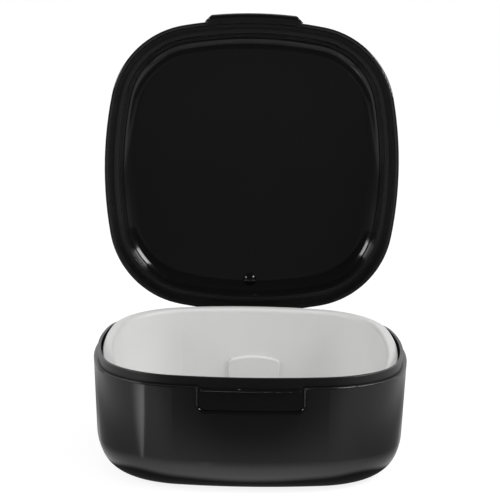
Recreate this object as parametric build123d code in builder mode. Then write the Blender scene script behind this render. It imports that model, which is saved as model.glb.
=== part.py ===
from build123d import *
import os
from math import cos, radians, sin, sqrt, tan

# Denture case: a hinged black case with a white lift-out insert.
#
# Millimetres. The origin is the centre of the flat underside, +Z up, the hinge at +Y.
# The lid is drawn closed and then turned back to rest against its stop, fully open.

# ---------------------------------------------------------------- case outline
case_width = 92.0
case_depth = 91.1
corner_radius = 27.4
side_bow_radius = 117.5
front_bow_radius = 122.0

# ------------------------------------------------------------------ base shell
base_height = 31.0
wall_draft = 2.9
base_edge_radius = 9.9
base_wall = 2.05
base_floor = 2.2
base_inner_radius = 8.0
lip_inset = 1.15
lip_height = 2.55
lip_edge_radius = 0.3
shoulder_edge_radius = 0.5

# ------------------------------------------------------- latch recess and catch
recess_width = 29.2
recess_height = 6.9
recess_corner_radius = 2.0
mouth_edge_radius = 1.0
mouth_overcut = 0.01
catch_width = 28.4
catch_drop = 0.4
catch_height = 1.1
catch_proud = 0.5
catch_edge_radius = 0.35

# ------------------------------------------------------------------- lid shell
seam_gap = 0.1
lid_height = 13.0
lid_draft = 3.0
lid_edge_radius = 9.0
lid_roof = 2.0
lip_clearance = 0.15
swing_relief = 0.25
swing_relief_width = 52.0
rebate_depth = 5.9
ring_step_inset = 2.8
ring_depth = 5.2
pan_inset = 4.0
pan_draft = 8.0
pan_edge_radius = 5.0
pip_radius = 2.1
pip_height = 1.1
pip_inset = 9.1

# -------------------------------------------------------------------- lid tab
tab_clearance = 0.4
tab_side_lead = 0.15
tab_drop = 5.6
tab_proud = 1.95
tab_root_height = 4.0
tab_side_slope = 45.0
tab_edge_radius = 1.3
tab_corner_radius = 1.0
catch_clearance = 0.1
hook_bite = 0.3
hook_height = 1.2

# ---------------------------------------------------------------------- hinge
axis_behind_wall = 1.15
axis_above_shoulder = 1.15
lid_open_angle = 96.1
pin_radius = 0.9
pin_play = 0.05
pin_fit = 0.01
pin_end_gap = 0.6
knuckle_radius = 2.2
knuckle_clearance = 0.15
lid_knuckle_width = 17.6
base_knuckle_width = 8.0
lug_drop = 7.6
lug_back_drop = 2.0
arm_rise = 7.0
arm_back_rise = 1.8
heel_length = 3.6
heel_thickness = 2.4
stop_gap = 0.03

# --------------------------------------------------------------------- insert
insert_gap = 0.55
rim_width = 3.4
rim_thickness = 1.3
rim_centre_height = 1.6
rim_slope = 4.14
trim_allowance = 1.0
insert_wall = 1.3
insert_draft = 4.5
insert_floor = 1.4
insert_edge_radius = 8.0
rim_outer_edge_radius = 0.45
rim_inner_edge_radius = 1.1
boss_width = 16.0
boss_top = 20.9
boss_crown = 1.3
boss_corner_radius = 1.6
boss_proud = 1.4
boss_edge_radius = 0.6
boss_offset = 1.6
drain_radius = 2.0
inner_ring_radius = 11.0
inner_ring_count = 6
outer_ring_radius = 22.0
outer_ring_count = 12

# -------------------------------------------------------------- worked out
half_width = case_width / 2
half_depth = case_depth / 2
hinge_y = half_depth + axis_behind_wall
hinge_z = base_height + axis_above_shoulder
hinge_axis = Axis((0, hinge_y, hinge_z), (1, 0, 0))
lid_bottom = base_height + seam_gap
recess_depth = lip_inset
lid_land = lip_inset - lip_clearance
rim_inset = base_wall + insert_gap
rim_plane = Plane(
    origin=(0, 0, base_height + rim_centre_height),
    x_dir=(1, 0, 0),
    z_dir=(0, -sin(radians(rim_slope)), cos(radians(rim_slope))),
)
rim_rise = half_depth * tan(radians(rim_slope)) + trim_allowance
insert_top = base_height + rim_centre_height + rim_rise


def bow_and_corner_centres():
    """Centres of the right side's arc, the back's arc and the corner arc between them."""
    side = Vector(half_width - side_bow_radius, 0)
    back = Vector(0, half_depth - front_bow_radius)
    side_reach = side_bow_radius - corner_radius
    back_reach = front_bow_radius - corner_radius
    between = back - side
    span = between.length
    along = (side_reach**2 - back_reach**2 + span**2) / (2 * span)
    across = sqrt(side_reach**2 - along**2)
    unit = between / span
    corner = side + unit * along + Vector(-unit.Y, unit.X) * across
    return side, back, corner


side_centre, back_centre, corner_centre = bow_and_corner_centres()


def case_outline(inset):
    """Sketch of the rounded-square outline, moved inwards by inset: eight tangent arcs."""
    radius = corner_radius - inset
    side_joint = corner_centre + (corner_centre - side_centre).normalized() * radius
    back_joint = corner_centre + (corner_centre - back_centre).normalized() * radius
    middle = (side_joint + back_joint) / 2 - corner_centre
    corner_middle = corner_centre + middle.normalized() * radius
    with BuildSketch() as outline:
        with BuildLine():
            for x_sign in (1, -1):
                ThreePointArc(
                    (x_sign * side_joint.X, -side_joint.Y),
                    (x_sign * (half_width - inset), 0),
                    (x_sign * side_joint.X, side_joint.Y),
                )
            for y_sign in (1, -1):
                ThreePointArc(
                    (-back_joint.X, y_sign * back_joint.Y),
                    (0, y_sign * (half_depth - inset)),
                    (back_joint.X, y_sign * back_joint.Y),
                )
                for x_sign in (1, -1):
                    ThreePointArc(
                        (x_sign * side_joint.X, y_sign * side_joint.Y),
                        (x_sign * corner_middle.X, y_sign * corner_middle.Y),
                        (x_sign * back_joint.X, y_sign * back_joint.Y),
                    )
        make_face()
    return outline.sketch


def tub(inset, height, draft, edge_radius):
    """Tapered block that narrows upwards from the outline, with its upper edge rounded."""
    with BuildPart() as block:
        with BuildSketch():
            add(case_outline(inset))
        extrude(amount=height, taper=draft)
        fillet(block.edges().group_by(Axis.Z)[-1], edge_radius)
    return block.part


def upside_down(part, top):
    """The part turned over, so that what stood on z = 0 hangs from z = top."""
    return part.mirror(Plane.XY.offset(top / 2))


def arc_block(radius, width, corners):
    """A round barrel about the hinge axis joined to a lug: corners are the lug's outline in (y, z)."""
    with BuildPart() as block:
        with BuildSketch(Plane.YZ) as section:
            with Locations((hinge_y, hinge_z)):
                Circle(radius)
            with BuildLine():
                Polyline(*corners, close=True)
            make_face()
        extrude(amount=width / 2, both=True)
    return block.part


# ================================================================= base shell
base_body = upside_down(tub(0, base_height, wall_draft, base_edge_radius), base_height)
base_cavity = upside_down(
    tub(base_wall, base_height - base_floor, wall_draft, base_inner_radius), base_height
)
catch_front_body = upside_down(
    tub(recess_depth - catch_proud, base_height, wall_draft, base_edge_radius), base_height
)
front_plane = Plane.XZ.offset(half_depth - corner_radius / 2)


def front_bow(inset):
    """Cone that the front wall is a part of, moved inwards by inset, to twice the base's height."""
    spread = base_height * tan(radians(wall_draft))
    radius = front_bow_radius - inset
    with BuildPart() as bow:
        with Locations((0, front_bow_radius - half_depth, base_height)):
            Cone(radius - spread, radius + spread, 2 * base_height)
    return bow.part


# a plug that flares out at its mouth into a block standing a hair off the wall
with BuildPart() as latch_recess:
    with BuildSketch(front_plane):
        with Locations((0, base_height)):
            Rectangle(recess_width + corner_radius, base_height)
    extrude(amount=corner_radius)
    add(front_bow(-mouth_overcut), mode=Mode.SUBTRACT)
    with BuildSketch(front_plane):
        with Locations((0, base_height - recess_height / 2 + recess_corner_radius)):
            RectangleRounded(
                recess_width, recess_height + 2 * recess_corner_radius, recess_corner_radius
            )
    extrude(amount=corner_radius)
    add(front_bow(recess_depth), mode=Mode.SUBTRACT)
    wall_side = latch_recess.faces().filter_by(GeomType.CONE).sort_by(SortBy.AREA)[-1]
    fillet(wall_side.inner_wires()[0].edges(), mouth_edge_radius)
    split(bisect_by=Plane.XY.offset(base_height), keep=Keep.BOTTOM)

with BuildPart() as catch_bead:
    with BuildSketch(front_plane):
        with Locations((0, base_height - catch_drop - catch_height / 2)):
            Rectangle(catch_width, catch_height)
    extrude(amount=corner_radius)
    add(catch_front_body, mode=Mode.INTERSECT)
    fillet(catch_bead.faces().sort_by(Axis.Y)[0].edges(), catch_edge_radius)

# hinge lugs: the barrel is the highest point, its back drops straight and then slopes to the wall
base_lug_corners = (
    (half_depth - base_wall / 2, base_height),
    (hinge_y, base_height),
    (hinge_y, hinge_z),
    (hinge_y + knuckle_radius, hinge_z),
    (hinge_y + knuckle_radius, hinge_z - lug_back_drop),
    (half_depth - base_wall / 2, hinge_z - lug_drop),
)
lug_offset = lid_knuckle_width / 2 + knuckle_clearance + base_knuckle_width / 2

with BuildPart() as base_shell:
    add(base_body)
    fillet(base_shell.edges().group_by(Axis.Z)[-1], shoulder_edge_radius)
    add(latch_recess.part, mode=Mode.SUBTRACT)
    add(catch_bead.part)
    with BuildSketch(Plane.XY.offset(base_height)):
        add(case_outline(lip_inset))
    extrude(amount=lip_height)
    fillet(base_shell.edges().group_by(Axis.Z)[-1], lip_edge_radius)
    with Locations((lug_offset, 0, 0), (-lug_offset, 0, 0)):
        add(arc_block(knuckle_radius, base_knuckle_width, base_lug_corners))
    add(base_cavity, mode=Mode.SUBTRACT)
    with BuildSketch(Plane.XY.offset(base_height)):
        add(case_outline(base_wall))
    extrude(amount=lip_height, mode=Mode.SUBTRACT)
    # room for the lid's knuckle, and the pin's seat through the lugs
    with BuildSketch(Plane.YZ):
        with Locations((hinge_y, hinge_z)):
            Circle(knuckle_radius + knuckle_clearance)
    extrude(amount=lid_knuckle_width / 2 + knuckle_clearance, both=True, mode=Mode.SUBTRACT)
    with BuildSketch(Plane.YZ):
        with Locations((hinge_y, hinge_z)):
            Circle(pin_radius + pin_fit)
    extrude(amount=case_width / 4, both=True, mode=Mode.SUBTRACT)

# ================================================================== hinge pin
pin_length = lid_knuckle_width + 2 * knuckle_clearance + 2 * base_knuckle_width - 2 * pin_end_gap
with BuildPart() as hinge_pin:
    with BuildSketch(Plane.YZ):
        with Locations((hinge_y, hinge_z)):
            Circle(pin_radius)
    extrude(amount=pin_length / 2, both=True)
    chamfer(hinge_pin.edges().filter_by(GeomType.CIRCLE), pin_radius / 4)

# ================================================================== lid shell
lug_room_width = base_knuckle_width + 2 * knuckle_clearance
lid_arm_corners = (
    (half_depth - pan_inset, lid_bottom),
    (hinge_y, lid_bottom),
    (hinge_y, hinge_z),
    (hinge_y + knuckle_radius, hinge_z),
    (hinge_y + knuckle_radius, hinge_z + arm_back_rise),
    (half_depth - lid_land, hinge_z + arm_rise),
    (half_depth - pan_inset, hinge_z + arm_rise),
)

# room for the lip and the insert's rim, then a step in the ring, then the rounded pan
with BuildPart() as lid_cavity:
    with BuildSketch():
        add(case_outline(lid_land))
    extrude(amount=rebate_depth, taper=lid_draft)
    with BuildSketch(Plane.XY.offset(ring_depth)):
        add(case_outline(ring_step_inset))
    extrude(amount=rebate_depth, mode=Mode.SUBTRACT)
    pan_depth = lid_height - lid_roof - ring_depth
    with Locations((0, 0, ring_depth)):
        add(tub(pan_inset, pan_depth, pan_draft, pan_edge_radius))

# thinner skirt along the hinge, so that its corner swings clear of the lip
with BuildPart() as lid_swing_room:
    with BuildSketch(Plane.XY.offset(lid_bottom)):
        add(case_outline(lid_land - swing_relief))
    extrude(amount=lip_height + swing_relief)
    with BuildSketch(Plane.XY.offset(lid_bottom)):
        with Locations((0, half_depth)):
            Rectangle(swing_relief_width, half_depth)
    extrude(amount=lid_height, mode=Mode.INTERSECT)

# lift tab: rounded along its front edge, widest near the wall, its sides sloping in both ways
tab_width = recess_width + 2 * mouth_edge_radius - 2 * tab_clearance
tab_length = tab_drop + seam_gap + tab_root_height
tab_foot_y = front_bow_radius - half_depth - sqrt(front_bow_radius**2 - (tab_width / 2) ** 2)
tab_side_y = tab_foot_y - tab_side_lead
tab_apex_reach = tab_width / 2 / tan(radians(tab_side_slope))
tab_end_radius = recess_corner_radius + mouth_edge_radius - tab_clearance
with BuildPart() as lid_tab:
    with BuildSketch(Plane.XY.offset(base_height - tab_drop)):
        add(case_outline(-tab_proud))
        add(case_outline(recess_depth - catch_proud - catch_clearance), mode=Mode.SUBTRACT)
    extrude(amount=tab_length)
    with BuildSketch(front_plane):
        with Locations((0, base_height - tab_drop + tab_length / 2)):
            RectangleRounded(tab_width, tab_length, tab_end_radius)
    extrude(amount=corner_radius, mode=Mode.INTERSECT)
    fillet(lid_tab.faces().sort_by(Axis.Y)[0].edges(), tab_edge_radius)
    with BuildSketch(Plane.XY.offset(base_height - tab_drop)) as tab_plan:
        with BuildLine():
            Polyline(
                (-tab_width / 2, tab_side_y),
                (0, tab_side_y - tab_apex_reach),
                (tab_width / 2, tab_side_y),
                (0, tab_side_y + tab_apex_reach),
                close=True,
            )
        make_face()
        add(case_outline(-tab_proud), mode=Mode.INTERSECT)
        fillet(tab_plan.vertices().sort_by(Axis.Y)[:2], tab_corner_radius)
    extrude(amount=tab_length, mode=Mode.INTERSECT)

hook_bottom = base_height - catch_drop - catch_height - catch_clearance - hook_height
with BuildPart() as tab_hook:
    with BuildSketch(Plane.XY.offset(hook_bottom)):
        add(case_outline(0))
        add(case_outline(recess_depth - catch_proud + hook_bite), mode=Mode.SUBTRACT)
    extrude(amount=hook_height)
    with BuildSketch(front_plane):
        with Locations((0, base_height)):
            Rectangle(catch_width, base_height)
    extrude(amount=corner_radius, mode=Mode.INTERSECT)

with BuildPart() as lid_pip:
    pip_floor = lid_bottom + lid_height - lid_roof
    dome_radius = (pip_radius**2 + pip_height**2) / (2 * pip_height)
    with Locations((0, half_depth - pip_inset, pip_floor - pip_height + dome_radius)):
        Sphere(dome_radius)
    split(bisect_by=Plane.XY.offset(pip_floor + lid_roof / 2), keep=Keep.BOTTOM)

with BuildPart() as lid_closed:
    with Locations((0, 0, lid_bottom)):
        add(tub(0, lid_height, lid_draft, lid_edge_radius))
    fillet(lid_closed.edges().group_by(Axis.Z)[0], shoulder_edge_radius)
    add(arc_block(knuckle_radius, lid_knuckle_width, lid_arm_corners))
    add(lid_tab.part)
    with Locations((0, 0, lid_bottom)):
        add(lid_cavity.part, mode=Mode.SUBTRACT)
    add(lid_swing_room.part, mode=Mode.SUBTRACT)
    add(lid_pip.part)
    add(tab_hook.part)
    for side in (1, -1):
        with BuildSketch(Plane.YZ.offset(side * lug_offset)):
            with Locations((hinge_y, hinge_z)):
                Circle(knuckle_radius + knuckle_clearance)
        extrude(amount=lug_room_width / 2, both=True, mode=Mode.SUBTRACT)
    with BuildSketch(Plane.YZ):
        with Locations((hinge_y, hinge_z)):
            Circle(pin_radius + pin_play)
    extrude(amount=case_width / 4, both=True, mode=Mode.SUBTRACT)


def back_wall_y(z):
    """Where the base's back wall stands at height z on the centre line."""
    return half_depth - (base_height - z) * tan(radians(wall_draft))


# the stop heel is drawn where it meets the back wall of the base with the lid fully open
heel_top = hinge_z - knuckle_radius / 2
heel_bottom = hinge_z - heel_length
with BuildPart() as lid_shell:
    add(lid_closed.part.rotate(hinge_axis, -lid_open_angle))
    with BuildSketch(Plane.YZ):
        with BuildLine():
            Polyline(
                (back_wall_y(heel_top) + stop_gap, heel_top),
                (back_wall_y(heel_bottom) + stop_gap, heel_bottom),
                (back_wall_y(heel_bottom) + heel_thickness, heel_bottom),
                (hinge_y + knuckle_radius, hinge_z),
                (hinge_y + pin_radius + pin_play, hinge_z),
                (hinge_y, hinge_z - pin_radius - pin_play),
                close=True,
            )
        make_face()
    extrude(amount=lid_knuckle_width / 2, both=True)
    with BuildSketch(Plane.YZ):
        with Locations((hinge_y, hinge_z)):
            Circle(pin_radius + pin_play)
    extrude(amount=case_width / 4, both=True, mode=Mode.SUBTRACT)

# ===================================================================== insert
insert_inset = rim_inset + rim_width - rim_rise * tan(radians(insert_draft))
insert_depth = insert_top - base_floor
insert_outer = upside_down(
    tub(insert_inset - insert_wall, insert_depth, insert_draft, insert_edge_radius), insert_top
)
insert_inner = upside_down(
    tub(
        insert_inset,
        insert_depth - insert_floor,
        insert_draft,
        insert_edge_radius - insert_wall,
    ),
    insert_top,
)
boss_wall_inset = insert_inset + (insert_top - boss_top) * tan(radians(insert_draft))
boss_face_y = half_depth - boss_wall_inset - boss_proud


def boss_outline(margin):
    """Arch of the insert's boss, made smaller all round by margin."""
    half = boss_width / 2 - margin
    foot = base_floor + insert_floor / 2
    top = boss_top - margin
    with BuildSketch() as arch:
        with BuildLine():
            Polyline((-half, top - boss_crown), (-half, foot), (half, foot), (half, top - boss_crown))
            ThreePointArc((-half, top - boss_crown), (0, top), (half, top - boss_crown))
        make_face()
        fillet(arch.vertices().group_by(Axis.Y)[-1], boss_corner_radius)
    return arch.sketch


with BuildPart() as insert_boss:
    with BuildSketch(Plane.XZ.offset(-boss_face_y)):
        with Locations((boss_offset, 0)):
            add(boss_outline(0))
    extrude(amount=-boss_proud - insert_wall)
    fillet(insert_boss.faces().sort_by(Axis.Y)[0].edges().sort_by(Axis.Z)[1:], boss_edge_radius)
    add(insert_outer, mode=Mode.INTERSECT)

with BuildPart() as boss_channel:
    with BuildSketch(Plane.XZ.offset(-boss_face_y - insert_wall)):
        with Locations((boss_offset, 0)):
            add(boss_outline(insert_wall))
    extrude(amount=-corner_radius)

drain_rings = ((inner_ring_radius, inner_ring_count), (outer_ring_radius, outer_ring_count))
with BuildPart() as insert_tray:
    add(insert_outer)
    split(bisect_by=rim_plane, keep=Keep.BOTTOM)
    with BuildSketch(rim_plane):
        add(case_outline(rim_inset))
    extrude(amount=-rim_thickness)
    add(insert_inner, mode=Mode.SUBTRACT)
    rim_edges = insert_tray.faces().filter_by(rim_plane).sort_by(SortBy.AREA)[-1]
    fillet(rim_edges.inner_wires()[0].edges(), rim_inner_edge_radius)
    rim_edges = insert_tray.faces().filter_by(rim_plane).sort_by(SortBy.AREA)[-1]
    fillet(rim_edges.outer_wire().edges(), rim_outer_edge_radius)
    add(insert_boss.part)
    add(boss_channel.part, mode=Mode.SUBTRACT)
    for ring_radius, hole_count in drain_rings:
        with BuildSketch(Plane.XY.offset(base_floor)):
            with PolarLocations(ring_radius, hole_count):
                Circle(drain_radius)
        extrude(amount=insert_floor, mode=Mode.SUBTRACT)
    with BuildSketch(Plane.XY.offset(base_floor)):
        Circle(drain_radius)
    extrude(amount=insert_floor, mode=Mode.SUBTRACT)

base_shell.part.label = "base_shell"
lid_shell.part.label = "lid_shell"
hinge_pin.part.label = "hinge_pin"
insert_tray.part.label = "insert_tray"

os.makedirs("parts", exist_ok=True)
export_step(base_shell.part, "parts/base_shell.step")
export_step(lid_shell.part, "parts/lid_shell.step")
export_step(hinge_pin.part, "parts/hinge_pin.step")
export_step(insert_tray.part, "parts/insert_tray.step")
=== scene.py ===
from math import atan2, cos, pi, radians, sin

import bpy
from mathutils import Matrix, Vector


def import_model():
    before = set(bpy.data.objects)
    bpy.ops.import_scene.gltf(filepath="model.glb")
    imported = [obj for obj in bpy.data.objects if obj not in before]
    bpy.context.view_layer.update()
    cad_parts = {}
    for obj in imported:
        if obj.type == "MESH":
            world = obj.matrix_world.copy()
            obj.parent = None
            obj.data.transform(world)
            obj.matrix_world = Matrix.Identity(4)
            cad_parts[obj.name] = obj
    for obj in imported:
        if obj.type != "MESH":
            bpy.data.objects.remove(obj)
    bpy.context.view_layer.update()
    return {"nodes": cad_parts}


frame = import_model()
nodes = frame["nodes"]

# Denture case: its finishes, the studio round it and the camera of the reference view.
#
# Metres and degrees. The case stands on z = 0 with its front towards -Y.
# A pair called fade or named ..._FADE holds the two values that a smooth step runs between.

# ------------------------------------------------------------------ camera
IMAGE_SIDE_PX = 500
FOCAL_PX = 2405.1
SENSOR_MM = 36.0
CAMERA_CLIP = (0.01, 50.0)
CAMERA_TARGET = Vector((-0.000554, 0.0, 0.061475))
CAMERA_DISTANCE = 0.70436
CAMERA_ELEVATION = 10.513
CAMERA_YAW = -0.4485
CAMERA_ROLL = 0.9007

# ------------------------------------------------------------ black plastic
BLACK_TONES = ((0.0034, 0.0034, 0.0035), (0.0048, 0.0048, 0.0049))
BLACK_ROUGHNESS = (0.09, 0.14)
BLACK_HAZE = {"scale": 55.0, "Detail": 4.0, "Roughness": 0.6}
BLACK_WAVES = {"scale": 38.0, "Detail": 1.0}
BLACK_WAVE_BUMP = {"strength": 0.10, "distance": 0.0006}
BLACK_GRAIN = {"scale": 2600.0, "Detail": 2.0}
BLACK_GRAIN_BUMP = {"strength": 0.04, "distance": 0.00004}
SATIN_ROUGHNESS = 0.34
# Grey added to the lid's satin zone: partly the satin's own tone, partly painted light, lighter
# towards the lid's top.
SATIN_GREY_AND_PAINTED_LIGHT = 0.019

# The lid's satin zone, in the place where the lid stands open and leans back. LID_FACING is the
# way its hollow faces, and RING_DEPTH is how far along it the step inside the lid's edge lies.
LID_LEAN = radians(6.1)
LID_FACING = (0.0, -cos(LID_LEAN), sin(LID_LEAN))
RING_CENTRE = (0.0, 0.0506, 0.0780)
RING_DEPTH = -0.0472
OUTSIDE_FADE = (0.006, 0.002)
SATIN_DEPTH_FADE = (RING_DEPTH - 0.0042, RING_DEPTH - 0.0012)
GREY_DEPTH_FADE = (RING_DEPTH - 0.0055, RING_DEPTH)
# Painted light: the lid's greyer part is lighter towards its top and fades to a small share towards
# the hinge.
PAINTED_LIGHT_HEIGHT_FADE = (-0.042, -0.012)
PAINTED_LIGHT_LEAST = 0.1

# The base's satin zone, by height: its lip and the rounded edge of its shoulder.
SHOULDER_FADE = (0.0302, 0.0307)

# ------------------------------------------------- white plastic and steel
WHITE_TONES = ((0.775, 0.775, 0.768), (0.815, 0.815, 0.81))
WHITE_ROUGHNESS = (0.34, 0.44)
WHITE_MOTTLE = {"scale": 60.0, "Detail": 3.0}
WHITE_GRAIN = {"scale": 2200.0, "Detail": 2.0}
WHITE_GRAIN_BUMP = {"strength": 0.06, "distance": 0.00004}
STEEL_TONES = ((0.5, 0.5, 0.5), (0.66, 0.66, 0.65))
STEEL_ROUGHNESS = (0.2, 0.42)
STEEL_STRETCH = (40.0, 4000.0, 4000.0)
STEEL_MARKS = {"scale": 1.0, "Detail": 2.0}

# ------------------------------------------------------------------- world
# Strengths: FILL lights the case, SKY and HORIZON are what its gloss reflects.
FILL_FRONT = 0.62
FILL_BACK = 0.40
SKY_DARK = 0.04
SKY_BACK = 0.85
SKY_BACK_FADE = (-0.12, 0.40)
HORIZON_MIDDLE = 0.14
HORIZON_SIDE = 0.26
HORIZON_SIDE_FADE = (0.55, 1.0)
HORIZON_FOOT_SHARE = 0.45
HORIZON_FOOT_FADE = (0.05, 0.12)
HORIZON_TOP_FADE = (0.18, 0.13)

# ------------------------------------------------------------------- floor
FLOOR_SIDE = 12.0
FLOOR_PAPER = 0.8
FLOOR_WHITE = 0.86
FLOOR_SHADOW_SHARE = 0.28
FLOOR_MIRRORED = 1.25

# Where reflections see the floor shaded: right by the foot, all round, under the dark flag in
# front, far out in front, and on both sides. The share that a patch takes of the floor's white
# goes from losses[0] to losses[1], and a power above 2 squares its outline.
FOOT = {"radii": (0.046, 0.0455), "power": 4.8}
SIDE = {"radii": (0.045, 0.095), "fade": (0.3, 1.3), "losses": (0.68, 0.0)}
FLOOR_SHADES = (
    {**FOOT, "fade": (0.885, 0.967), "losses": (0.93, 0.0)},
    {**FOOT, "fade": (1.02, 1.40), "losses": (0.0, 0.50)},
    {"centre": (0, -0.116), "radii": (0.066, 0.055), "fade": (0.35, 1.25), "losses": (0.78, 0.0)},
    {"centre": (0, -1.6), "radii": (1.6, 1.5), "fade": (0.96, 1.013), "losses": (0.86, 0.0)},
    {**SIDE, "centre": (0.062, 0.03)},
    {**SIDE, "centre": (-0.062, 0.03)},
)

# ------------------------------------------------------------------ lights
SOFTBOX_AIM = Vector((0, 0, 0.05))
SOFTBOXES = {
    "softbox_left": {"place": (-0.567, -0.141, 0.335), "size": (0.276, 0.160), "radiance": 7.5},
    "softbox_right": {"place": (0.508, -0.108, 0.441), "size": (0.324, 0.183), "radiance": 11.0},
}
STRIP_TIP = (-0.046, -0.0475, 0.0004)
STRIP_FAINT_END = (-0.130, -0.0548, 0.0004)
STRIP_BRIGHT_END = (-0.108, -0.0890, 0.0004)
STRIP_RADIANCE = 2.3
STRIP_TIP_SHARE = 0.55
STRIP_TIP_FADE = (0.0, 0.05)


def add_object(name, data):
    """A new object in the scene."""
    made = bpy.data.objects.new(name, data)
    bpy.context.scene.collection.objects.link(made)
    return made


def add_face(name, corners):
    """One flat face that belongs to the studio and not to the case."""
    mesh = bpy.data.meshes.new(name)
    mesh.from_pydata(corners, [], [tuple(range(len(corners)))])
    made = add_object(name, mesh)
    return made


def camera():
    """The camera of the reference view: elevation, a small yaw and roll, and a long lens."""
    elevation = radians(CAMERA_ELEVATION)
    yaw = radians(CAMERA_YAW)
    roll = radians(CAMERA_ROLL)
    back = Vector((sin(yaw) * cos(elevation), -cos(yaw) * cos(elevation), sin(elevation)))
    right = (-back).cross(Vector((0, 0, 1))).normalized()
    up = right.cross(-back)
    rolled_right = right * cos(roll) + up * sin(roll)
    rolled_up = up * cos(roll) - right * sin(roll)
    data = bpy.data.cameras.new("camera")
    data.sensor_width = SENSOR_MM
    data.lens = FOCAL_PX / IMAGE_SIDE_PX * SENSOR_MM
    data.clip_start, data.clip_end = CAMERA_CLIP
    placed = add_object("camera", data)
    turn = Matrix((rolled_right, rolled_up, back)).transposed().to_4x4()
    placed.matrix_world = Matrix.Translation(CAMERA_TARGET + back * CAMERA_DISTANCE) @ turn
    bpy.context.scene.camera = placed


# --------------------------------------------------------------- node helpers
class Shader:
    """A small builder for node trees. Inputs are given as plain values or as sockets to link."""

    def __init__(self, tree):
        self.tree = tree
        self.tree.nodes.clear()

    def node(self, kind, inputs=None, **settings):
        """Adds a node, with its own settings and with its inputs by their name or number."""
        made = self.tree.nodes.new(kind)
        for name, value in settings.items():
            setattr(made, name, value)
        for slot, value in (inputs or {}).items():
            if isinstance(value, bpy.types.NodeSocket):
                self.tree.links.new(value, made.inputs[slot])
            else:
                made.inputs[slot].default_value = value
        return made

    def math(self, operation, *values):
        made = self.node("ShaderNodeMath", dict(enumerate(values)), operation=operation)
        return made.outputs[0]

    def vector(self, operation, *values):
        made = self.node("ShaderNodeVectorMath", dict(enumerate(values)), operation=operation)
        return made.outputs["Value" if operation in ("DOT_PRODUCT", "LENGTH") else "Vector"]

    def split(self, vector):
        """The three parts of a vector."""
        return self.node("ShaderNodeSeparateXYZ", {"Vector": vector}).outputs[:3]

    def ramp(self, value, fade, low=0.0, high=1.0):
        """Smooth step from low at fade[0] to high at fade[1]."""
        start, end = fade
        inputs = {"Value": value, "From Min": start, "From Max": end, "To Min": low, "To Max": high}
        made = self.node("ShaderNodeMapRange", inputs, interpolation_type="SMOOTHSTEP")
        return made.outputs["Result"]

    def noise(self, place, scale, **inputs):
        made = self.node("ShaderNodeTexNoise", {"Vector": place, "Scale": scale, **inputs})
        return made.outputs["Fac"]

    def bump(self, height, strength, distance, **inputs):
        inputs = {"Height": height, "Strength": strength, "Distance": distance, **inputs}
        return self.node("ShaderNodeBump", inputs).outputs["Normal"]

    def follow(self, pattern, roughness, tones):
        """Roughness and colour that follow one noise pattern, each between two values."""
        least, most = roughness
        rough = self.node("ShaderNodeMapRange", {"Value": pattern, "To Min": least, "To Max": most})
        colour = self.node("ShaderNodeValToRGB", {"Fac": pattern})
        for stop, tone in zip(colour.color_ramp.elements, tones):
            stop.color = (*tone, 1)
        return rough.outputs["Result"], colour.outputs["Color"]

    def principled(self, **inputs):
        """The whole surface as one principled shader; an underscore stands for a space."""
        inputs = {name.replace("_", " "): value for name, value in inputs.items()}
        self.output(self.node("ShaderNodeBsdfPrincipled", inputs).outputs["BSDF"])

    def diffuse(self, grey):
        return self.node("ShaderNodeBsdfDiffuse", {"Color": (grey, grey, grey, 1)}).outputs[0]

    def emission(self, strength):
        return self.node("ShaderNodeEmission", {"Strength": strength}).outputs[0]

    def added(self, first, second):
        return self.node("ShaderNodeAddShader", {0: first, 1: second}).outputs[0]

    def mixed(self, share, first, second):
        return self.node("ShaderNodeMixShader", {"Fac": share, 1: first, 2: second}).outputs[0]

    def straight_and_glossy_rays(self):
        """1 for rays that see the background itself, and 1 for those that see it mirrored."""
        path = self.node("ShaderNodeLightPath").outputs
        straight = self.math("MAXIMUM", path["Is Camera Ray"], path["Is Transmission Ray"])
        return straight, path["Is Glossy Ray"]

    def output(self, surface, kind="ShaderNodeOutputMaterial"):
        self.node(kind, {"Surface": surface})


def new_material(name):
    """A node material, the builder of its tree, and the sockets of the place on the piece."""
    material = bpy.data.materials.new(name)
    material.use_nodes = True
    shader = Shader(material.node_tree)
    return material, shader, shader.node("ShaderNodeTexCoord").outputs


# ------------------------------------------------------------------ materials
def lid_ring(shader, place):
    """The lid's satin part, from its seam face to the pan's wall, and its slightly greyer part:
    partly the satin's own greyer tone, partly painted light that makes it lighter towards the lid's
    top.
    """
    depth = shader.vector("DOT_PRODUCT", place["Object"], LID_FACING)
    spoke = shader.vector("SUBTRACT", place["Object"], RING_CENTRE)
    outward = shader.vector("DOT_PRODUCT", spoke, place["Normal"])
    inside = shader.ramp(outward, OUTSIDE_FADE)
    satin = shader.ramp(depth, SATIN_DEPTH_FADE)
    # Painted light: the grey share rises with height, from a small share by the hinge to full at
    # the top.
    height = shader.ramp(shader.split(spoke)[2], PAINTED_LIGHT_HEIGHT_FADE, low=PAINTED_LIGHT_LEAST)
    grey = shader.math("MULTIPLY", shader.ramp(depth, GREY_DEPTH_FADE), height)
    return [shader.math("MULTIPLY", inside, part) for part in (satin, grey)]


def base_shoulder(shader, place):
    """The base's satin part, its lip and shoulder edge, and no greyer part."""
    return shader.ramp(shader.split(place["Object"])[2], SHOULDER_FADE), 0.0


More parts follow.
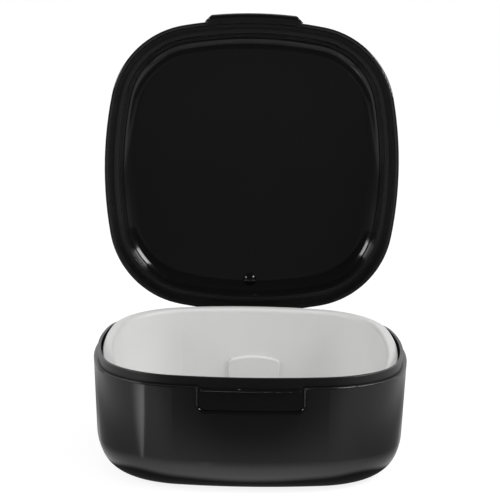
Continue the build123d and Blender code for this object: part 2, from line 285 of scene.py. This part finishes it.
def case_plastic(name, satin_grey_and_painted_light):
    """Gloss black moulding: polished, with the faint waviness and haze of a moulded face."""
    material, shader, place = new_material(name)
    haze = shader.noise(place["Object"], **BLACK_HAZE)
    gloss, tone = shader.follow(haze, BLACK_ROUGHNESS, BLACK_TONES)
    satin, grey = satin_grey_and_painted_light(shader, place)
    waves = shader.noise(place["Object"], **BLACK_WAVES)
    grain = shader.noise(place["Object"], **BLACK_GRAIN)
    wavy = shader.bump(waves, **BLACK_WAVE_BUMP)
    shader.principled(
        # The grey added to the base colour is partly painted light, lighter towards the lid's top;
        # the base gets none.
        Base_Color=shader.vector("ADD", tone, shader.math("MULTIPLY", grey, SATIN_GREY_AND_PAINTED_LIGHT)),
        Roughness=shader.math("MAXIMUM", gloss, shader.math("MULTIPLY", satin, SATIN_ROUGHNESS)),
        Normal=shader.bump(grain, **BLACK_GRAIN_BUMP, Normal=wavy),
    )
    return material


def insert_plastic():
    """Satin white moulding with the faintest mottling and a fine grain."""
    material, shader, place = new_material("insert_plastic")
    mottle = shader.noise(place["Object"], **WHITE_MOTTLE)
    roughness, tone = shader.follow(mottle, WHITE_ROUGHNESS, WHITE_TONES)
    grain = shader.bump(shader.noise(place["Object"], **WHITE_GRAIN), **WHITE_GRAIN_BUMP)
    shader.principled(Base_Color=tone, Roughness=roughness, Normal=grain)
    return material


def pin_steel():
    """Drawn steel wire with fine lengthwise drawing marks."""
    material, shader, place = new_material("pin_steel")
    along = {"Vector": place["Object"], "Scale": STEEL_STRETCH}
    stretched = shader.node("ShaderNodeMapping", along)
    marks = shader.noise(stretched.outputs["Vector"], **STEEL_MARKS)
    roughness, tone = shader.follow(marks, STEEL_ROUGHNESS, STEEL_TONES)
    shader.principled(Base_Color=tone, Roughness=roughness, Metallic=1.0)
    return material


def dress(piece, material):
    """Gives a piece its one finish."""
    piece.data.materials.clear()
    piece.data.materials.append(material)


# --------------------------------------------------------------------- studio
def world():
    """White to the camera; in reflections, white behind the case and flagged dark in front."""
    made = bpy.data.worlds.new("studio")
    made.use_nodes = True
    bpy.context.scene.world = made
    shader = Shader(made.node_tree)
    across, back, up = shader.split(shader.node("ShaderNodeTexCoord").outputs["Generated"])
    sideways = shader.math("ABSOLUTE", across)
    horizon = shader.ramp(sideways, HORIZON_SIDE_FADE, HORIZON_MIDDLE, HORIZON_SIDE)
    foot = shader.ramp(up, HORIZON_FOOT_FADE, low=HORIZON_FOOT_SHARE)
    level = shader.math("MULTIPLY", foot, shader.ramp(up, HORIZON_TOP_FADE))
    flagged = shader.math("ADD", shader.math("MULTIPLY", level, horizon), SKY_DARK)
    behind = shader.ramp(back, SKY_BACK_FADE)
    front = shader.math("SUBTRACT", 1.0, behind)
    mirrored = shader.math(
        "ADD", shader.math("MULTIPLY", behind, SKY_BACK), shader.math("MULTIPLY", front, flagged)
    )
    fill = shader.ramp(back, (-1.0, 1.0), FILL_FRONT, FILL_BACK)
    straight, glossy = shader.straight_and_glossy_rays()
    by_case = shader.node("ShaderNodeMix", {"Factor": glossy, "A": fill, "B": mirrored})
    by_case = by_case.outputs["Result"]
    seen = shader.node("ShaderNodeMix", {"Factor": straight, "A": by_case, "B": 1.0})
    white = {"Color": (1, 1, 1, 1), "Strength": seen.outputs["Result"]}
    shader.output(shader.node("ShaderNodeBackground", white).outputs[0], "ShaderNodeOutputWorld")


def floor_share(shader, place, radii, fade, losses, centre=(0, 0), power=2.0):
    """What a patch leaves of the floor's white in reflections, by the distance from its centre."""
    apart = shader.vector("SUBTRACT", place, (*centre, 0))
    sides = shader.split(shader.vector("DIVIDE", apart, (*radii, 1)))[:2]
    reach = [shader.math("POWER", shader.math("ABSOLUTE", side), power) for side in sides]
    radius = shader.math("POWER", shader.math("ADD", *reach), 1.0 / power)
    return shader.ramp(radius, fade, 1.0 - losses[0], 1.0 - losses[1])


def floor():
    """Plain white floor that keeps the case's shadow; reflections see it shaded in patches."""
    half = FLOOR_SIDE / 2
    corners = [(-half, -half, 0), (half, -half, 0), (half, half, 0), (-half, half, 0)]
    made = add_face("floor", corners)
    material, shader, place = new_material("floor_paper")
    kept = 1.0
    for patch in FLOOR_SHADES:
        kept = shader.math("MULTIPLY", floor_share(shader, place["Object"], **patch), kept)
    mirrored = shader.emission(shader.math("MULTIPLY", kept, FLOOR_MIRRORED))
    straight, glossy = shader.straight_and_glossy_rays()
    by_case = shader.mixed(glossy, shader.diffuse(FLOOR_PAPER), mirrored)
    seen = shader.added(shader.diffuse(FLOOR_SHADOW_SHARE), shader.emission(FLOOR_WHITE))
    shader.output(shader.mixed(straight, by_case, seen))
    made.data.materials.append(material)


def softbox(name, place, size, radiance):
    """Rectangular soft light at place, facing the case, of an even radiance."""
    data = bpy.data.lights.new(name, "AREA")
    data.shape = "RECTANGLE"
    width, height = size
    data.size, data.size_y = width, height
    data.energy = radiance * pi * width * height
    made = add_object(name, data)
    made.location = place
    made.rotation_mode = "QUATERNION"
    made.rotation_quaternion = (Vector(place) - SOFTBOX_AIM).to_track_quat("Z", "Y")
    made.visible_camera = False


def strip():
    """A fan of light on the floor, left of the case, that only reflections see."""
    made = add_face("strip_left", [STRIP_TIP, STRIP_FAINT_END, STRIP_BRIGHT_END])
    made.visible_camera = False
    made.visible_diffuse = False
    made.visible_transmission = False
    made.visible_shadow = False
    material, shader, place = new_material("strip_left")
    arm = shader.vector("SUBTRACT", place["Object"], STRIP_TIP)
    run, rise = [shader.math("ABSOLUTE", part) for part in shader.split(arm)[:2]]
    turns = [
        atan2(abs(end[1] - STRIP_TIP[1]), abs(end[0] - STRIP_TIP[0]))
        for end in (STRIP_FAINT_END, STRIP_BRIGHT_END)
    ]
    across = shader.ramp(shader.math("ARCTAN2", rise, run), turns, high=STRIP_RADIANCE)
    along = shader.ramp(shader.vector("LENGTH", arm), STRIP_TIP_FADE, low=STRIP_TIP_SHARE)
    glow = shader.emission(shader.math("MULTIPLY", across, along))
    clear = shader.node("ShaderNodeBsdfTransparent").outputs[0]
    shader.output(shader.added(clear, glow))
    made.data.materials.append(material)


view = bpy.context.scene.view_settings
view.view_transform = "Standard"

camera()
world()
floor()
for light, settings in SOFTBOXES.items():
    softbox(light, **settings)
strip()

dress(nodes["base_shell"], case_plastic("case_plastic", base_shoulder))
dress(nodes["lid_shell"], case_plastic("lid_plastic", lid_ring))
dress(nodes["insert_tray"], insert_plastic())
dress(nodes["hinge_pin"], pin_steel())
